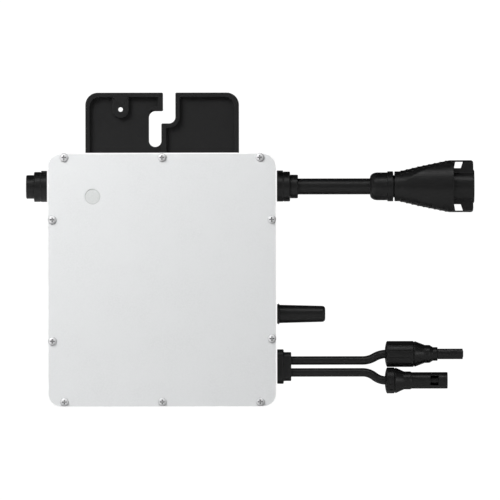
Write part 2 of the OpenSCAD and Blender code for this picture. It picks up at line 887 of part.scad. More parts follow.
module dc_entry_body() {
    base_end_x = side_x + 6;
    front_x = side_x + 13;
    color("#1f1f1f") on_axis(dc_z) difference() {
        union() {
            across(neck_in - 1, side_x) rounded_rect(15, 22, 5);
            across(side_x, base_end_x) rounded_rect(21, 31.8, 7);
            across(base_end_x, front_x) rounded_rect(17.6, 26.6, 5.6);
        }
        across(neck_in - 2, front_x - 6) dc_holes(dc_cable_r + gap);
        across(front_x - 6, front_x + 1) rounded_rect(13.1, 22.1, 4.5);
        across(side_x - 1, side_x + seal_t + 0.05) difference() {
            rounded_rect(18.3, 25.3, 6.15);
            rounded_rect(16.1, 23.1, 5.35);
        }
    }
}

module dc_entry_bush() {
    color("#101010") on_axis(dc_z) across(side_x + 7.05, side_x + 12.9) difference() {
        rounded_rect(13, 22, 4.45);
        dc_holes(dc_cable_r + 0.05);
    }
}

module dc_cable_tails() {
    color("#1a1a1a") for (s = [-1, 1]) on_axis(dc_z + s * dc_pitch / 2) {
        difference() {
            bar(dc_cable_inner, dc_flex_x - flex_gap(dc_cable_r, dc_sway_max), dc_cable_r);
            flex_cup(dc_flex_x, dc_cable_r);
        }
        bar(post_x + 3, dc_cable_inner, 1.9);
    }
}

// A low ring around a bending cable where two of its segments meet, tilted by angle from the X axis.
module seam_ring(angle) {
    rotate([0, 90 - angle, 0]) cylinder(r = dc_cable_r + 0.04, h = 0.8, center = true);
}

// A DC lead from its flex point to inside its connector. side is 1 for the upper lead, -1 for the lower.
module dc_lead(side, cable_end, wire_end) {
    run = dc_nut_x - dc_bend_x;
    rise = (dc_plug_pitch - dc_pitch) / 2 - side * dc_plug_drop;
    turn = 2 * atan(rise / run);
    bend_r = run / (2 * sin(turn));
    on_axis(dc_z + side * dc_pitch / 2) {
        translate([dc_flex_x, 0, 0]) sphere(dc_cable_r);
        bar(dc_flex_x, dc_bend_x, dc_cable_r);
        translate([dc_bend_x, 0, side * bend_r]) rotate([90, 0, 0])
            rotate([0, 0, side > 0 ? -90 : 90 - turn]) rotate_extrude(angle = turn)
                translate([bend_r, 0]) circle(dc_cable_r);
        translate([dc_bend_x, 0, 0]) seam_ring(0);
        translate([dc_bend_x + run / 2, 0, side * rise / 2]) seam_ring(side * turn);
    }
    on_axis(side > 0 ? dc_upper : dc_lower) {
        translate([dc_nut_x, 0, 0]) seam_ring(0);
        translate([dc_nut_x, 0, -side * bend_r]) rotate([90, 0, 0])
            rotate([0, 0, side > 0 ? 90 : -90 - turn]) rotate_extrude(angle = turn)
                translate([bend_r, 0]) circle(dc_cable_r);
        bar(dc_nut_x, cable_end, dc_cable_r);
        bar(cable_end, wire_end, 1.4);
    }
}

// Straight grip grooves around a connector nut.
module nut_grooves(x0, x1, r) {
    for (a = [0:30:330]) rotate([a + 15, 0, 0]) translate([x0, -0.5, r - 0.6]) cube([x1 - x0, 1, 2]);
}

module dc_nut(x0, x1, groove_end) {
    difference() {
        turned([
            [x0 - 1, 0], [x0 - 1, 5.4], [x0 - 0.6, 7.9], [x0 + 0.1, dc_nut_r - 1.3], [x0 + 0.9, dc_nut_r],
            [x1 - 0.4, dc_nut_r], [x1, dc_nut_r - 0.4], [x1, 0]
        ]);
        bar(x0 - 2, x1, dc_cable_r + 0.15);
        bar(x0 + 3, x1 + 1, 9.55);
        nut_grooves(x0 + 3, groove_end, dc_nut_r);
    }
}

plug_nut_end = 232;
socket_nut_end = 214.2;
latch_root = 254.3;

module dc_plug_cable() { color("#1a1a1a") dc_lead(1, 230, 240); }

module dc_plug_nut() {
    color("#222222") on_axis(dc_upper) dc_nut(dc_nut_x, plug_nut_end, plug_nut_end - 2.5);
}

module dc_plug_shell() {
    color("#1f1f1f") on_axis(dc_upper) difference() {
        union() {
            bar(dc_nut_x + 8, plug_nut_end + 1, 9.5);
            bar(plug_nut_end + gap, plug_nut_end + 1.2, dc_nut_r - 0.7);
            turned([
                [plug_nut_end + 1, 0], [plug_nut_end + 1, dc_nut_r - 0.1], [242.4, 8.3], [246.7, 8.3],
                [249.8, 6.3], [254.1, 6.3], [254.1, 3.4],
                [dc_nose_end - 0.4, 3.4], [dc_nose_end, 3], [dc_nose_end, 0]
            ]);
        }
        bar(dc_nut_x, 231, 6.5);
        bar(230, 249, 3);
        bar(248, dc_nose_end + 1, 2.1);
    }
}

module dc_plug_contact() {
    color("silver") on_axis(dc_upper) difference() {
        union() {
            bar(232, 248.9, 3 - slip);
            bar(248.9, dc_nose_end - 1.5, 2.05);
        }
        bar(231, 242, 1.45);
        bar(256, dc_nose_end, 1.55);
    }
}

// One of the two spring arms beside the nose. side is -1 for the front arm, 1 for the back one.
module dc_latch(side) {
    arm_end = dc_nose_end - 0.6;
    on_axis(dc_upper) intersection() {
        union() {
            pipe(latch_root, arm_end, 6.3, 5.15);
            pipe(latch_root + 12, latch_root + 15, 6.9, 6);
        }
        translate([latch_root - 1, side > 0 ? 2.9 : -9, -4.8]) cube([40, 6.1, 9.6]);
    }
}

module dc_latch_front() { color("#242424") dc_latch(-1); }

module dc_latch_back() { color("#242424") dc_latch(1); }

module dc_socket_cable() { color("#1a1a1a") dc_lead(-1, 217, 226); }

module dc_socket_nut() {
    color("#222222") on_axis(dc_lower) dc_nut(dc_nut_x, socket_nut_end, socket_nut_end - 1.5);
}

module dc_socket_shell() {
    socket_end = 263.4;
    mouth_x = socket_end - 8.4;
    shell_r = 7.6;
    color("#1f1f1f") on_axis(dc_lower) {
        difference() {
            union() {
                bar(dc_nut_x + 3.5, socket_nut_end + 1, 9.5);
                bar(socket_nut_end + gap, socket_nut_end + 1.2, dc_nut_r - 0.7);
                turned([
                    [socket_nut_end + 1, 0], [socket_nut_end + 1, dc_nut_r - 0.1],
                    [223.2, 8.3], [228.9, 8.3], [230.2, shell_r],
                    [socket_end - 0.4, shell_r], [socket_end, shell_r - 0.4], [socket_end, 0]
                ]);
            }
            bar(dc_nut_x, 218, 6.2);
            bar(217, 240, 3);
            bar(239, mouth_x + 0.4, 6.3);
            bar(mouth_x, socket_end + 1, 6.5);
            translate([247.5, -10, -4.45]) cube([7.5, 20, 8.9]);
        }
        pipe(238, mouth_x, 4.45, 3.6);
    }
}

module dc_socket_contact() {
    color("silver") on_axis(dc_lower) difference() {
        union() {
            bar(219, 239, 3 - slip);
            bar(239, 254, 1.5);
        }
        bar(218, 228, 1.45);
    }
}

housing();
cover_plate();
cover_gasket();
cover_screws();
mounting_bracket();
bracket_screws();
indicator_lens();
status_led();
main_board();
board_screws();
potting_compound();
transformer_cores();
transformer_windings();
dc_capacitors();
power_transistors();
choke_core();
choke_windings();
film_capacitors();
grid_relays();
line_fuse();
surge_varistor();
control_chips();
wireless_module();
terminal_posts();
antenna_jack();
antenna_pigtail();
antenna_seal();
antenna_shell();
antenna_element();
bulkhead_seals();
bulkhead_locknuts();
ac_inlet_shell();
ac_inlet_insert();
ac_inlet_pins();
ac_gland_body();
ac_gland_bush();
ac_gland_nut();
ac_wires();
ac_cable_tail();
ac_cable_middle();
ac_cable_end();
ac_plug_nut();
ac_plug_bush();
ac_plug_shell();
ac_plug_insert();
ac_plug_contacts();
dc_entry_body();
dc_entry_bush();
dc_cable_tails();
dc_plug_cable();
dc_plug_nut();
dc_plug_shell();
dc_plug_contact();
dc_latch_front();
dc_latch_back();
dc_socket_cable();
dc_socket_nut();
dc_socket_shell();
dc_socket_contact();
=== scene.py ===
import json
import math

import bmesh
import bpy
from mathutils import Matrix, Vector


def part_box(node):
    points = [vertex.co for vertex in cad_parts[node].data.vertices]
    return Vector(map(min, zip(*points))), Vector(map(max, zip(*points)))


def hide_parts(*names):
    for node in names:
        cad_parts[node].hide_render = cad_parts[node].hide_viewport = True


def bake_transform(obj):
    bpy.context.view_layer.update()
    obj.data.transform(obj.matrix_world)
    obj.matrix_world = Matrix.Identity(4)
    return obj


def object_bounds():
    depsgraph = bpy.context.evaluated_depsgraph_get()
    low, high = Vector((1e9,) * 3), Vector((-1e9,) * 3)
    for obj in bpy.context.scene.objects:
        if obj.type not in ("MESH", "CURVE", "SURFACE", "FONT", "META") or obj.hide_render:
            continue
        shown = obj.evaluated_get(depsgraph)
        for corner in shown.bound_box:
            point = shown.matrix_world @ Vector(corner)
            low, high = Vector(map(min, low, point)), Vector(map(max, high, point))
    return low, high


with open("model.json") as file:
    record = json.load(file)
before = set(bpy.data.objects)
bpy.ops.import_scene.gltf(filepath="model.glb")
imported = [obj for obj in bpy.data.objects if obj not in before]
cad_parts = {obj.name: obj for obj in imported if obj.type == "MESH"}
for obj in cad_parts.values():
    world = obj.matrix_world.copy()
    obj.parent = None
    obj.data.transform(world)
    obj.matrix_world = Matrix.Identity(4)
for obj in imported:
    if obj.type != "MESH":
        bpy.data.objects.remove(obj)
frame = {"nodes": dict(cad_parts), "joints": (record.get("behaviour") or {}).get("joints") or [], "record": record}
bpy.context.view_layer.update()
CAD_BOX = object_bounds()
NODES = frame["nodes"]
MM = 0.001
WHITE = (1.0, 1.0, 1.0)
LIGHT_COAT = (0.72, 0.73, 0.735)
BLACK_PLASTIC = (0.0030, 0.0030, 0.0031)
NOISE_SPAN = (0.3, 0.7)  # holds most of a noise's values


# ---------------------------------------------------------------- materials

class Tree:
    """A node tree, with short calls for the nodes used here."""

    def __init__(self, tree):
        self.tree = tree
        self.tree.nodes.clear()

    def node(self, kind, inputs=None, **settings):
        made = self.tree.nodes.new(kind)
        for key, value in settings.items():
            setattr(made, key, value)
        for key, value in (inputs or {}).items():
            self.set(made.inputs[key], value)
        return made

    def set(self, socket, value):
        """Links an output to the socket, or stores a plain value in it."""
        if isinstance(value, bpy.types.NodeSocket):
            self.tree.links.new(value, socket)
        elif isinstance(value, tuple) and len(value) == 3 and socket.type == "RGBA":
            socket.default_value = (*value, 1.0)
        else:
            socket.default_value = value

    def ramp(self, value, low, high, to_low=0.0, to_high=1.0):
        inputs = {
            "Value": value,
            "From Min": low, "From Max": high,
            "To Min": to_low, "To Max": to_high,
        }
        return self.node("ShaderNodeMapRange", inputs).outputs[0]

    def math(self, operation, a, b):
        return self.node("ShaderNodeMath", {0: a, 1: b}, operation=operation).outputs[0]


class Graph(Tree):
    """A material's node tree, built round one principled shader."""

    def __init__(self, name):
        self.material = bpy.data.materials.new(name)
        self.material.use_nodes = True
        super().__init__(self.material.node_tree)
        self.output = self.node("ShaderNodeOutputMaterial")
        self.bsdf = self.node("ShaderNodeBsdfPrincipled")
        self.set(self.output.inputs["Surface"], self.bsdf.outputs[0])
        self.coord = self.node("ShaderNodeTexCoord").outputs["Object"]

    def noise(self, scale, detail=3.0, stretch=None, rough=0.5):
        """Noise in object space. scale counts features a metre; stretch scales the axes apart."""
        vector = self.coord
        if stretch:
            mapping = {"Vector": self.coord, "Scale": stretch}
            vector = self.node("ShaderNodeMapping", mapping).outputs[0]
        inputs = {"Vector": vector, "Scale": scale, "Detail": detail, "Roughness": rough}
        return self.node("ShaderNodeTexNoise", inputs).outputs[0]

    def vector_math(self, operation, a, b=None):
        inputs = {0: a} if b is None else {0: a, 1: b}
        return self.node("ShaderNodeVectorMath", inputs, operation=operation).outputs

    def mix(self, factor, a, b):
        made = self.node("ShaderNodeMix", data_type="RGBA", blend_type="MIX")
        for index, value in ((0, factor), (6, a), (7, b)):
            self.set(made.inputs[index], value)
        return made.outputs[2]

    def bump(self, height, distance, under=None):
        inputs = {"Height": height, "Distance": distance, "Strength": 1.0}
        if under is not None:
            inputs["Normal"] = under
        return self.node("ShaderNodeBump", inputs).outputs[0]

    def edge(self, radius):
        """0 on open surface, rising towards 1 at edges, where a rounded normal leans away."""
        rounded = self.node("ShaderNodeBevel", {"Radius": radius}, samples=4).outputs[0]
        true_normal = self.node("ShaderNodeNewGeometry").outputs["Normal"]
        leaning = self.vector_math("DOT_PRODUCT", rounded, true_normal)["Value"]
        return self.ramp(leaning, 1.0, 0.75)

    def finish(self, color, roughness, normal, metallic=0.0, **extra):
        values = {
            "Base Color": color, "Roughness": roughness, "Normal": normal, "Metallic": metallic,
        }
        for key, value in {**values, **extra}.items():
            self.set(self.bsdf.inputs[key], value)
        return self.material


def scaled(color, factor):
    return tuple(min(1.0, channel * factor) for channel in color)


def coated_metal(
    name, color, mottle=0.02, grain=0.006 * MM, roughness=0.42, metallic=0.25,
    edge_gain=0.35, specular=0.5, lip=None,
):
    """Satin powder coat: cloudy tone, fine orange peel, and edges lightened by a painted highlight.

    lip, a depth in Y, makes the narrow face in front of it that looks forward glow plain white: painted light, an
    emitting band with its own colour and specular taken away.
    """
    g = Graph(name)
    edge = g.edge(0.8 * MM)
    cloud = g.noise(38.0, 4.0, rough=0.6)
    speckle = g.noise(620.0, 2.0)
    dark, light = scaled(color, 1 - mottle), scaled(color, 1 + mottle)
    tone = g.mix(g.ramp(cloud, *NOISE_SPAN), dark, light)
    tone = g.mix(g.ramp(speckle, 0.35, 0.65), tone, light)
    # Painted highlight: near edges the tone is mixed towards a lighter colour, by edge_gain.
    tone = g.mix(g.math("MULTIPLY", edge, edge_gain), tone, scaled(color, 1.5))
    peel = g.bump(g.noise(1500.0, 2.0), grain)
    fine = g.bump(g.noise(5200.0, 1.0), grain * 0.3, under=peel)
    rough = g.ramp(g.noise(210.0, 3.0), *NOISE_SPAN, roughness - 0.05, roughness + 0.05)
    extra = {"Specular IOR Level": specular}
    # Painted light: the forward-facing lip emits plain white, as if lit, though no lamp is there.
    if lip is not None:
        normal = g.node("ShaderNodeNewGeometry").outputs["Normal"]
        depth = g.node("ShaderNodeSeparateXYZ", {0: g.coord}).outputs["Y"]
        facing = g.node("ShaderNodeSeparateXYZ", {0: normal}).outputs["Y"]
        forward = g.math("LESS_THAN", facing, -0.3)
        lip_glow_mask = g.math("MULTIPLY", g.math("LESS_THAN", depth, lip), forward)
        tone = g.mix(lip_glow_mask, tone, (0.0, 0.0, 0.0))
        other = g.math("SUBTRACT", 1.0, lip_glow_mask)
        extra["Specular IOR Level"] = g.math("MULTIPLY", other, specular)
        extra["Emission Color"] = WHITE
        extra["Emission Strength"] = lip_glow_mask
    return g.finish(tone, rough, fine, metallic, **extra)


def moulded_plastic(name, color, roughness, grain=0.012 * MM, edge_gain=0.25):
    """Moulded plastic: faint flow marks, spark-eroded grain and a lighter tone towards its edges."""
    g = Graph(name)
    flow = g.noise(60.0, 3.0, stretch=(0.35, 1.0, 1.0))
    tone = g.mix(g.ramp(flow, *NOISE_SPAN), scaled(color, 0.88), scaled(color, 1.12))
    tone = g.mix(g.math("MULTIPLY", g.edge(0.5 * MM), edge_gain), tone, scaled(color, 2.6))
    texture = g.bump(g.noise(2600.0, 2.0), grain)
    rough = g.ramp(g.noise(320.0, 3.0), *NOISE_SPAN, roughness - 0.06, roughness + 0.06)
    return g.finish(tone, rough, texture)


def jacket(name, color, roughness):
    """Extruded cable sheath: long draw lines, faint dust and a soft sheen."""
    g = Graph(name)
    lines = g.noise(900.0, 2.0, stretch=(0.015, 1.0, 1.0))
    dust = g.noise(150.0, 4.0, rough=0.7)
    tone = g.mix(g.ramp(dust, 0.45, 0.8), color, scaled(color, 1.8))
    normal = g.bump(lines, 0.02 * MM)
    normal = g.bump(g.noise(3000.0, 1.0), 0.006 * MM, under=normal)
    rough = g.ramp(lines, *NOISE_SPAN, roughness - 0.05, roughness + 0.06)
    return g.finish(tone, rough, normal)


def bare_metal(name, color, roughness, metallic=0.85):
    """Plated or tinned metal: fine scratches, uneven plating, and painted shade that darkens its recesses and the
    sides turned from view.
    """
    g = Graph(name)
    plating = g.noise(420.0, 3.0)
    scratches = g.noise(2400.0, 2.0)
    tone = g.mix(g.ramp(plating, *NOISE_SPAN), scaled(color, 0.86), scaled(color, 1.08))
    # Painted shade: where ambient occlusion finds a recess, the tone goes nearly black.
    occlusion = g.node(
        "ShaderNodeAmbientOcclusion", {"Distance": 1.6 * MM}, samples=8, only_local=True
    )
    recess_shade = g.ramp(occlusion.outputs["AO"], 0.3, 0.75, 0.98, 0.0)
    tone = g.mix(recess_shade, tone, scaled(color, 0.04))
    # Painted shade: faces that turn away from the view are darkened.
    side_shade_facing = g.node("ShaderNodeLayerWeight", {"Blend": 0.5}).outputs["Facing"]
    tone = g.mix(g.ramp(side_shade_facing, 0.1, 0.5, 0.0, 0.8), tone, scaled(color, 0.3))
    rough = g.ramp(scratches, *NOISE_SPAN, roughness - 0.07, roughness + 0.1)
    return g.finish(tone, rough, g.bump(scratches, 0.008 * MM), metallic=metallic)


def rubber(name, color, roughness):
    """Seal rubber or potting: a cloudy pale bloom over a fine grain."""
    g = Graph(name)
    bloom = g.noise(240.0, 4.0)
    tone = g.mix(g.ramp(bloom, 0.4, 0.75), color, scaled(color, 1.9))
    grain = g.bump(g.noise(1800.0, 2.0), 0.02 * MM)
    return g.finish(tone, roughness, grain, **{"Specular IOR Level": 0.3})


def frosted_lens(name):
    """Frosted window: a milky disc with painted shade, a darker ring where its shoulder starts."""
    g = Graph(name)
    low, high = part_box("indicator_lens")
    centre, radius = (low + high) / 2, 7.1 * MM
    offset = g.vector_math("SUBTRACT", g.coord, tuple(centre))[0]
    flat = g.vector_math("MULTIPLY", offset, (1.0, 0.0, 1.0))[0]
    reach = g.vector_math("LENGTH", flat)["Value"]
    milk = g.noise(700.0, 2.0)
    tone = g.mix(g.ramp(milk, *NOISE_SPAN), (0.500, 0.512, 0.508), (0.545, 0.557, 0.553))
    # Painted shade: the tone darkens in a ring towards the lens's edge.
    shade_ring = g.ramp(reach, radius * 0.80, radius * 0.93)
    tone = g.mix(shade_ring, tone, (0.455, 0.467, 0.463))
    depth = {"Subsurface Weight": 0.15, "Subsurface Radius": (0.002, 0.002, 0.002)}
    frost = g.bump(g.noise(2500.0, 1.0), 0.01 * MM)
    return g.finish(tone, 0.42, frost, **depth, **{"Coat Weight": 0.2})


def circuit_laminate(name):
    """Green solder mask over copper tracks and pads."""
    g = Graph(name)
    upright = {"Vector": g.coord, "Rotation": (math.pi / 2, 0.0, 0.0)}
    bricks = g.node(
        "ShaderNodeTexBrick",
        {"Vector": g.node("ShaderNodeMapping", upright).outputs[0], "Scale": 95.0,
         "Mortar Size": 0.035, "Mortar Smooth": 0.4, "Brick Width": 1.7, "Row Height": 0.45},
    )
    cells = g.node(
        "ShaderNodeTexVoronoi", {"Vector": g.coord, "Scale": 210.0}, feature="DISTANCE_TO_EDGE"
    )
    pads = g.ramp(cells.outputs["Distance"], 0.42, 0.46)
    mask = g.mix(bricks.outputs["Fac"], (0.012, 0.10, 0.045), (0.03, 0.19, 0.08))
    tone = g.mix(pads, mask, (0.62, 0.47, 0.22))
    height = g.math("ADD", bricks.outputs["Fac"], pads)
    return g.finish(tone, g.ramp(pads, 0.0, 1.0, 0.32, 0.22), g.bump(height, 0.03 * MM))


def wound_wire(name, color):
    """Enamelled wire: close turns seen as fine ridges."""
    g = Graph(name)
    wave = {"Vector": g.coord, "Scale": 420.0, "Distortion": 0.6}
    turns = g.node("ShaderNodeTexWave", wave, bands_direction="Z").outputs["Fac"]
    tone = g.mix(turns, scaled(color, 0.55), color)
    return g.finish(tone, 0.28, g.bump(turns, 0.15 * MM), metallic=0.7)


def build_materials():
    """Materials by CAD material slot, or by node name where one node needs its own."""
    rim_depth = CAD_BOX[0].y + 5.9 * MM
    return {
        "coated_aluminium": coated_metal("satin_light_coat", LIGHT_COAT),
        "cover_plate": coated_metal("light_coat_cover", LIGHT_COAT, edge_gain=0.0),
        # The housing's front lip glows white through emission: painted light, not the coat's colour.
        "housing": coated_metal("light_coat_rim_painted_glow", (0.78, 0.79, 0.795), lip=rim_depth),
        "black_cast": coated_metal(
            "black_powder_coat", (0.0103, 0.0103, 0.0105), mottle=0.08, grain=0.03 * MM,
            roughness=0.52, metallic=0.0, edge_gain=0.10, specular=0.2,
        ),
        "bright_steel": bare_metal("bright_plated_steel", (0.78, 0.78, 0.79), 0.40, metallic=0.42),
        "seal_rubber": rubber("seal_rubber_look", (0.012, 0.012, 0.012), 0.7),
        "lens_plastic": frosted_lens("frosted_lens"),
        "led_lamp": moulded_plastic("lamp_body", (0.45, 0.8, 0.45), 0.2, edge_gain=0.0),
        "board_laminate": circuit_laminate("circuit_laminate"),
        "potting": rubber("potting_gel", (0.05, 0.05, 0.055), 0.35),
        "ferrite": moulded_plastic("ferrite", (0.06, 0.06, 0.065), 0.55, 0.03 * MM),
        "copper_wire": wound_wire("enamelled_copper", (0.72, 0.32, 0.12)),
        "capacitor_can": moulded_plastic("capacitor_sleeve", (0.03, 0.05, 0.11), 0.3),
        "chip_epoxy": moulded_plastic("chip_epoxy", (0.02, 0.02, 0.02), 0.5),
        "film_case": moulded_plastic("film_capacitor_case", (0.45, 0.36, 0.06), 0.4),
        "relay_case": moulded_plastic("relay_case", (0.02, 0.03, 0.05), 0.35),
        "fuse_tube": moulded_plastic("fuse_ceramic", (0.72, 0.70, 0.62), 0.3),
        "varistor_coat": moulded_plastic("varistor_coat", (0.03, 0.12, 0.30), 0.32),
        "shield_tin": bare_metal("shield_tin", (0.68, 0.67, 0.64), 0.32),
        "gold_contact": bare_metal("gold_contact", (0.83, 0.60, 0.24), 0.22),
        "tinned_contact": bare_metal("tinned_contact", (0.75, 0.74, 0.72), 0.28),
        "connector_plastic": moulded_plastic("connector_plastic_look", BLACK_PLASTIC, 0.37),
        "insert_plastic": moulded_plastic("insert_plastic_look", (0.03, 0.03, 0.03), 0.45),
        "cable_jacket": jacket("cable_jacket_look", BLACK_PLASTIC, 0.38),
        "wire_sleeve": jacket("wire_sleeve_look", (0.16, 0.05, 0.02), 0.35),
    }


# ---------------------------------------------------------------- rigid nodes

FLAT_ANGLE = math.radians(0.2)
ROUNDED_ANGLE = math.radians(32)
SHARP_ANGLE = math.radians(46)


def smoothing_group(name, sharp_angle):
    """A node group that drops stored normals, smooths all faces and sharpens steep edges."""
    group = bpy.data.node_groups.new(name, "GeometryNodeTree")
    for way in ("INPUT", "OUTPUT"):
        group.interface.new_socket("Geometry", in_out=way, socket_type="NodeSocketGeometry")
    g = Tree(group)
    mesh = g.node("NodeGroupInput").outputs[0]
    mesh = g.node(
        "GeometryNodeRemoveAttribute", {"Geometry": mesh, "Name": "custom_normal"}
    ).outputs["Geometry"]
    mesh = g.node(
        "GeometryNodeSetShadeSmooth", {"Geometry": mesh, "Shade Smooth": True}, domain="FACE"
    ).outputs["Geometry"]
    angle = g.node("GeometryNodeInputMeshEdgeAngle").outputs["Unsigned Angle"]
    steep = g.node(
        "FunctionNodeCompare", {0: angle, 1: sharp_angle},
        data_type="FLOAT", operation="GREATER_THAN",
    ).outputs["Result"]
    mesh = g.node(
        "GeometryNodeSetShadeSmooth",
        {"Geometry": mesh, "Selection": steep, "Shade Smooth": False}, domain="EDGE",
    ).outputs["Geometry"]
    g.node("NodeGroupOutput", {0: mesh})
    return group


def soften(names, width, groups, segments=2, merge=True):
    """Rounds the edges of these nodes by width, with clean normals.

    groups holds the smoothing groups for before and after. merge joins flat triangles first.
    """
    for name in names:
        node = NODES[name]
        weld = node.modifiers.new("weld", "WELD")
        weld.merge_threshold = (0.002 if merge else 0.01) * MM
        if merge:
            flat = node.modifiers.new("merge_flat", "DECIMATE")
            flat.decimate_type = "DISSOLVE"
            flat.angle_limit = FLAT_ANGLE
        node.modifiers.new("smooth", "NODES").node_group = groups[0]
        bevel = node.modifiers.new("round_edges", "BEVEL")
        bevel.width = width
        bevel.segments = segments
        bevel.limit_method = "ANGLE"
        bevel.angle_limit = ROUNDED_ANGLE
        bevel.use_clamp_overlap = False
        bevel.miter_outer = "MITER_ARC"
        node.modifiers.new("sharp", "NODES").node_group = groups[1]
        weighted = node.modifiers.new("weighted", "WEIGHTED_NORMAL")
        weighted.keep_sharp = True
        weighted.weight = 50 if merge else 100


def dress_nodes(materials):
    """Gives every node its material and rounds the ones that can be seen."""
    for row in frame["record"]["subparts"]:
        node = NODES[row["node"]]
        material = materials.get(row["node"], materials[row["material_slot"]])
        for slot in node.material_slots:
            slot.material = material
    groups = (
        smoothing_group("smooth_faces", math.pi),
        smoothing_group("smooth_by_angle", SHARP_ANGLE),
    )
    soften(["housing", "cover_plate"], 0.16 * MM, groups)
    soften(["mounting_bracket"], 0.3 * MM, groups, merge=False)
    soften(
        ["ac_inlet_shell", "ac_gland_body", "ac_gland_nut", "ac_plug_nut", "ac_plug_shell",
         "dc_plug_shell", "antenna_shell"], 0.3 * MM, groups,
    )
    soften(["dc_socket_shell"], 0.28 * MM, groups)
    soften(["dc_entry_body"], 0.8 * MM, groups, segments=3)
    soften(["dc_plug_nut", "dc_socket_nut", "dc_latch_front", "dc_latch_back"], 0.15 * MM, groups)
    soften(["cover_screws", "bracket_screws"], 0.12 * MM, groups)


# ---------------------------------------------------------------- cables

PATH_STEP = 1.0 * MM
SAME_POINT = 1e-6
AC_SIDES, DC_SIDES, WIRE_SIDES = 56, 40, 20
AC_SHEATH_END_X = 218 * MM
AC_WIRE_PITCH, AC_WIRE_RADIUS, AC_WIRE_STEP = 5.6 * MM, 1.3 * MM, 6 * MM
DC_BEND_START_X, DC_BEND_END_X, DC_ARC_STEPS = 185 * MM, 206.6 * MM, 14
DC_TAIL_LENGTH, DC_TAIL_RADIUS = 9 * MM, 1.9 * MM
DC_CONDUCTOR_RADIUS, DC_WIRE_STEP = 1.4 * MM, 3 * MM
DC_LEADS = (  # body, nodes its sheath takes the place of, joint, where the sheath ends
    ("dc_plug_lead", ("dc_plug_cable", "dc_cable_tails"), "dc_plug_sway", 230 * MM),
    ("dc_socket_lead", ("dc_socket_cable",), "dc_socket_sway", 217 * MM),
)


def straight(start, end, step):
    """Points from start to end, every step, with the direction of travel."""
    start, end = Vector(start), Vector(end)
    run = end - start
    count = max(1, round(run.length / step))
    return [(start + run * (i / count), run.normalized()) for i in range(count + 1)]


def s_bend(start, end, count):
    """Two equal arcs in the XZ plane that carry a cable from one height to another."""
    start, end = Vector(start), Vector(end)
    run, rise = end.x - start.x, end.z - start.z
    turn = 2 * math.atan(rise / run)
    radius = run / (2 * math.sin(turn))

    def arc(angle):
        sine, cosine = math.sin(angle), math.cos(angle)
        return Vector((radius * sine, 0, radius * (1 - cosine))), Vector((cosine, 0, sine))

    points = []
    for i in range(count + 1):
        along, direction = arc(turn * i / count)
        points.append((start + along, direction))
    for i in range(1, count + 1):
        along, direction = arc(turn * (1 - i / count))
        points.append((end - along, direction))
    return points


def tube(bm, path, radius, sides):
    """A closed round tube along a path in a plane of constant Y."""
    across = Vector((0, 1, 0))
    rings = []
    last = None
    for point, direction in path:
        if last is not None and (point - last).length < SAME_POINT:
            continue
        last = point
        up = direction.cross(across).normalized()
        rings.append([
            bm.verts.new(point + radius * (math.cos(a) * across + math.sin(a) * up))
            for a in (2 * math.pi * k / sides for k in range(sides))
        ])
    for low, high in zip(rings, rings[1:]):
        for k in range(sides):
            after = (k + 1) % sides
            bm.faces.new((low[k], high[k], high[after], low[after])).smooth = True
    for cap in (rings[0], rings[-1][::-1]):
        for edge in bm.faces.new(cap).edges:
            edge.smooth = False


def cable(name, tubes, sheath):
    """A mesh of tubes, each (path, radius, sides)."""
    bm = bmesh.new()
    for path, radius, sides in tubes:
        tube(bm, path, radius, sides)
    bmesh.ops.recalc_face_normals(bm, faces=bm.faces)
    mesh = bpy.data.meshes.new(name)
    bm.to_mesh(mesh)
    bm.free()
    made = bpy.data.objects.new(name, mesh)
    bpy.context.scene.collection.objects.link(made)
    mesh.materials.append(sheath)
    return made


def bend_at(made):
    """Bakes the sheath's transform into its mesh."""
    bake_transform(made)


def build_ac_lead(sheath, y, droop, sway):
    """Two lengths of sheath that meet on the short body between the lead's two pivots."""
    low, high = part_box("ac_cable_tail")
    radius, z = (high.z - low.z) / 2, (high.z + low.z) / 2
    middle = (droop.x + sway.x) / 2

    path = straight((low.x, y, z), (middle, y, z), PATH_STEP)
    first = cable("ac_jacket_housing_side", [(path, radius, AC_SIDES)], sheath)
    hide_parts("ac_cable_tail", "ac_cable_middle")
    bend_at(first)

    path = straight((middle, y, z), (AC_SHEATH_END_X, y, z), PATH_STEP)
    tubes = [(path, radius, AC_SIDES)]
    end_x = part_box("ac_cable_end")[1].x
    for i in (-1, 0, 1):
        wire_z = z + i * AC_WIRE_PITCH
        wire = straight((AC_SHEATH_END_X, y, wire_z), (end_x, y, wire_z), AC_WIRE_STEP)
        tubes.append((wire, AC_WIRE_RADIUS, WIRE_SIDES))
    second = cable("ac_jacket_plug_side", tubes, sheath)
    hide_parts("ac_cable_end")
    bend_at(second)


def build_dc_lead(sheath, y, body, nodes, pivot, sheath_end):
    """One length of sheath, from inside the housing to inside the connector."""
    low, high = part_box(nodes[0])
    radius, z = (high.y - low.y) / 2, pivot.z
    rises = high.z - z > z - low.z
    plug_z = high.z - radius if rises else low.z + radius
    tail_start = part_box("dc_cable_tails")[0].x
    tail_end = tail_start + DC_TAIL_LENGTH

    path = straight((tail_end, y, z), (DC_BEND_START_X, y, z), PATH_STEP)
    path += s_bend((DC_BEND_START_X, y, z), (DC_BEND_END_X, y, plug_z), DC_ARC_STEPS)
    path += straight((DC_BEND_END_X, y, plug_z), (sheath_end, y, plug_z), 2 * PATH_STEP)
    tail = straight((tail_start, y, z), (tail_end, y, z), DC_WIRE_STEP)
    conductor = straight((sheath_end, y, plug_z), (high.x, y, plug_z), DC_WIRE_STEP)
    tubes = [
        (path, radius, DC_SIDES),
        (tail, DC_TAIL_RADIUS, WIRE_SIDES),
        (conductor, DC_CONDUCTOR_RADIUS, WIRE_SIDES),
    ]
    made = cable(body + "_jacket", tubes, sheath)
    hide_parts(*nodes)
    bend_at(made)


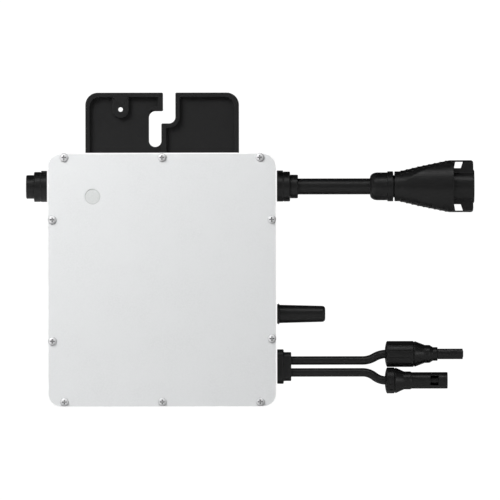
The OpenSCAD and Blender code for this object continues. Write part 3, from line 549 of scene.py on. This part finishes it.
def build_cables(sheath):
    """Sheath meshes, in place of the nodes that hold rigid lengths of cable."""
    y = sum(corner.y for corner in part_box("ac_cable_tail")) / 2
    pivots = {j["name"]: Vector(j["pos_m"]) for j in frame["joints"] if j["type"] == "hinge"}
    build_ac_lead(sheath, y, pivots["ac_lead_droop"], pivots["ac_lead_sway"])
    for body, nodes, joint, sheath_end in DC_LEADS:
        build_dc_lead(sheath, y, body, nodes, pivots[joint], sheath_end)


# ---------------------------------------------------------------- stage, lights, camera

BACKDROP_STRENGTH = 1.05  # just over plain white
FLOOR_HALF, FLOOR_GAP = 6.0, 0.4 * MM
KEY_PLACE = (-0.68, -0.68, 0.86)
LIGHT_TARGET = (0.07, 0.0, 0.02)
LIGHTS = (  # name, place, size, watts, whether glossy surfaces reflect it
    ("key_left", KEY_PLACE, (0.6, 0.6), 22.4, False),
    ("key_sheen", KEY_PLACE, (0.6, 0.6), 7.0, True),
    ("top_front", (0.15, -0.93, 1.37), (1.8, 0.35), 4.6, True),
    ("fill_right", (1.8, -1.6, 0.1), (0.8, 0.8), 5.0, True),
    ("back_wash", (0.9, 2.1, 0.5), (1.2, 1.2), 24.0, False),
)
SENSOR_WIDTH = 36.0
CAMERA_DISTANCE, CAMERA_CLIP = 8.0, 50.0
VIEW_WIDTH = 0.4609
VIEW_X, VIEW_Y, VIEW_Z = 0.0811, -0.040, 0.0277  # the middle of the view, on the cover's face
CAMERA_ROLL = math.radians(0.1)


def area_light(name, place, size, watts, glossy):
    data = bpy.data.lights.new(name, "AREA")
    data.shape = "RECTANGLE"
    data.size, data.size_y = size
    data.energy = watts
    made = bpy.data.objects.new(name, data)
    made.location = place
    made.rotation_mode = "QUATERNION"
    made.rotation_quaternion = (Vector(LIGHT_TARGET) - Vector(place)).to_track_quat("-Z", "Y")
    made.visible_glossy = glossy
    bpy.context.scene.collection.objects.link(made)


def build_floor():
    """A pale floor under the housing. Seen nearly edge-on, or far away, it fades to white."""
    g = Graph("pale_floor")
    place = g.node("ShaderNodeNewGeometry").outputs
    distance = g.vector_math("LENGTH", place["Position"])["Value"]
    facing = g.vector_math("DOT_PRODUCT", place["Incoming"], (0.0, 0.0, 1.0))["Value"]
    near = g.ramp(distance, 0.35, 1.1, 1.0, 0.0)
    seen = g.ramp(facing, 0.08, 0.24)
    share = g.math("MULTIPLY", g.math("MULTIPLY", near, seen), 0.8)
    camera_ray = g.node("ShaderNodeLightPath").outputs["Is Camera Ray"]
    tone = g.mix(camera_ray, (0.38, 0.38, 0.38), (0.86, 0.86, 0.86))
    g.finish(tone, 0.7, g.bump(g.noise(140.0, 2.0), 0.05 * MM))
    glow = g.node("ShaderNodeEmission", {"Color": WHITE, "Strength": BACKDROP_STRENGTH})
    white = g.math("MULTIPLY", g.math("SUBTRACT", 1.0, share), camera_ray)
    mixed = g.node("ShaderNodeMixShader", {0: white, 1: g.bsdf.outputs[0], 2: glow.outputs[0]})
    g.set(g.output.inputs["Surface"], mixed.outputs[0])
    bm = bmesh.new()
    bmesh.ops.create_grid(bm, x_segments=8, y_segments=8, size=FLOOR_HALF)
    mesh = bpy.data.meshes.new("floor")
    bm.to_mesh(mesh)
    bm.free()
    mesh.materials.append(g.material)
    floor = bpy.data.objects.new("floor", mesh)
    floor.location = (0.08, 0.0, CAD_BOX[0].z - FLOOR_GAP)
    bpy.context.scene.collection.objects.link(floor)


def build_world():
    """White to the camera; to everything else a dim room, lighter in front and dark overhead."""
    world = bpy.data.worlds.new("studio")
    bpy.context.scene.world = world
    world.use_nodes = True
    g = Tree(world.node_tree)
    coord = g.node("ShaderNodeTexCoord").outputs["Generated"]
    axes = g.node("ShaderNodeSeparateXYZ", {0: coord}).outputs
    front = g.ramp(axes["Y"], -1.0, 1.0, 0.30, 0.015)
    overhead = g.ramp(axes["Z"], 0.35, 0.85, 1.0, 0.05)
    room = g.node("ShaderNodeBackground", {"Strength": g.math("MULTIPLY", front, overhead)})
    seen = g.node("ShaderNodeBackground", {"Color": WHITE, "Strength": BACKDROP_STRENGTH})
    camera_ray = g.node("ShaderNodeLightPath").outputs["Is Camera Ray"]
    mix = g.node("ShaderNodeMixShader", {0: camera_ray, 1: room.outputs[0], 2: seen.outputs[0]})
    g.node("ShaderNodeOutputWorld", {"Surface": mix.outputs[0]})


def build_camera():
    """A long lens, square-on to the cover."""
    data = bpy.data.cameras.new("camera")
    data.sensor_width = SENSOR_WIDTH
    data.lens = SENSOR_WIDTH * CAMERA_DISTANCE / VIEW_WIDTH
    data.clip_end = CAMERA_CLIP
    camera = bpy.data.objects.new("camera", data)
    camera.location = (VIEW_X, VIEW_Y - CAMERA_DISTANCE, VIEW_Z)
    camera.rotation_euler = (math.pi / 2, CAMERA_ROLL, 0.0)
    bpy.context.scene.collection.objects.link(camera)
    bpy.context.scene.camera = camera


def build_stage():
    build_floor()
    build_world()
    for light in LIGHTS:
        area_light(*light)
    build_camera()
    view = bpy.context.scene.view_settings
    view.view_transform = "Standard"
    view.look = "None"
    view.exposure = 0.0
    view.gamma = 1.0


materials = build_materials()
dress_nodes(materials)
build_cables(materials["cable_jacket"])
build_stage()
bpy.context.view_layer.update()
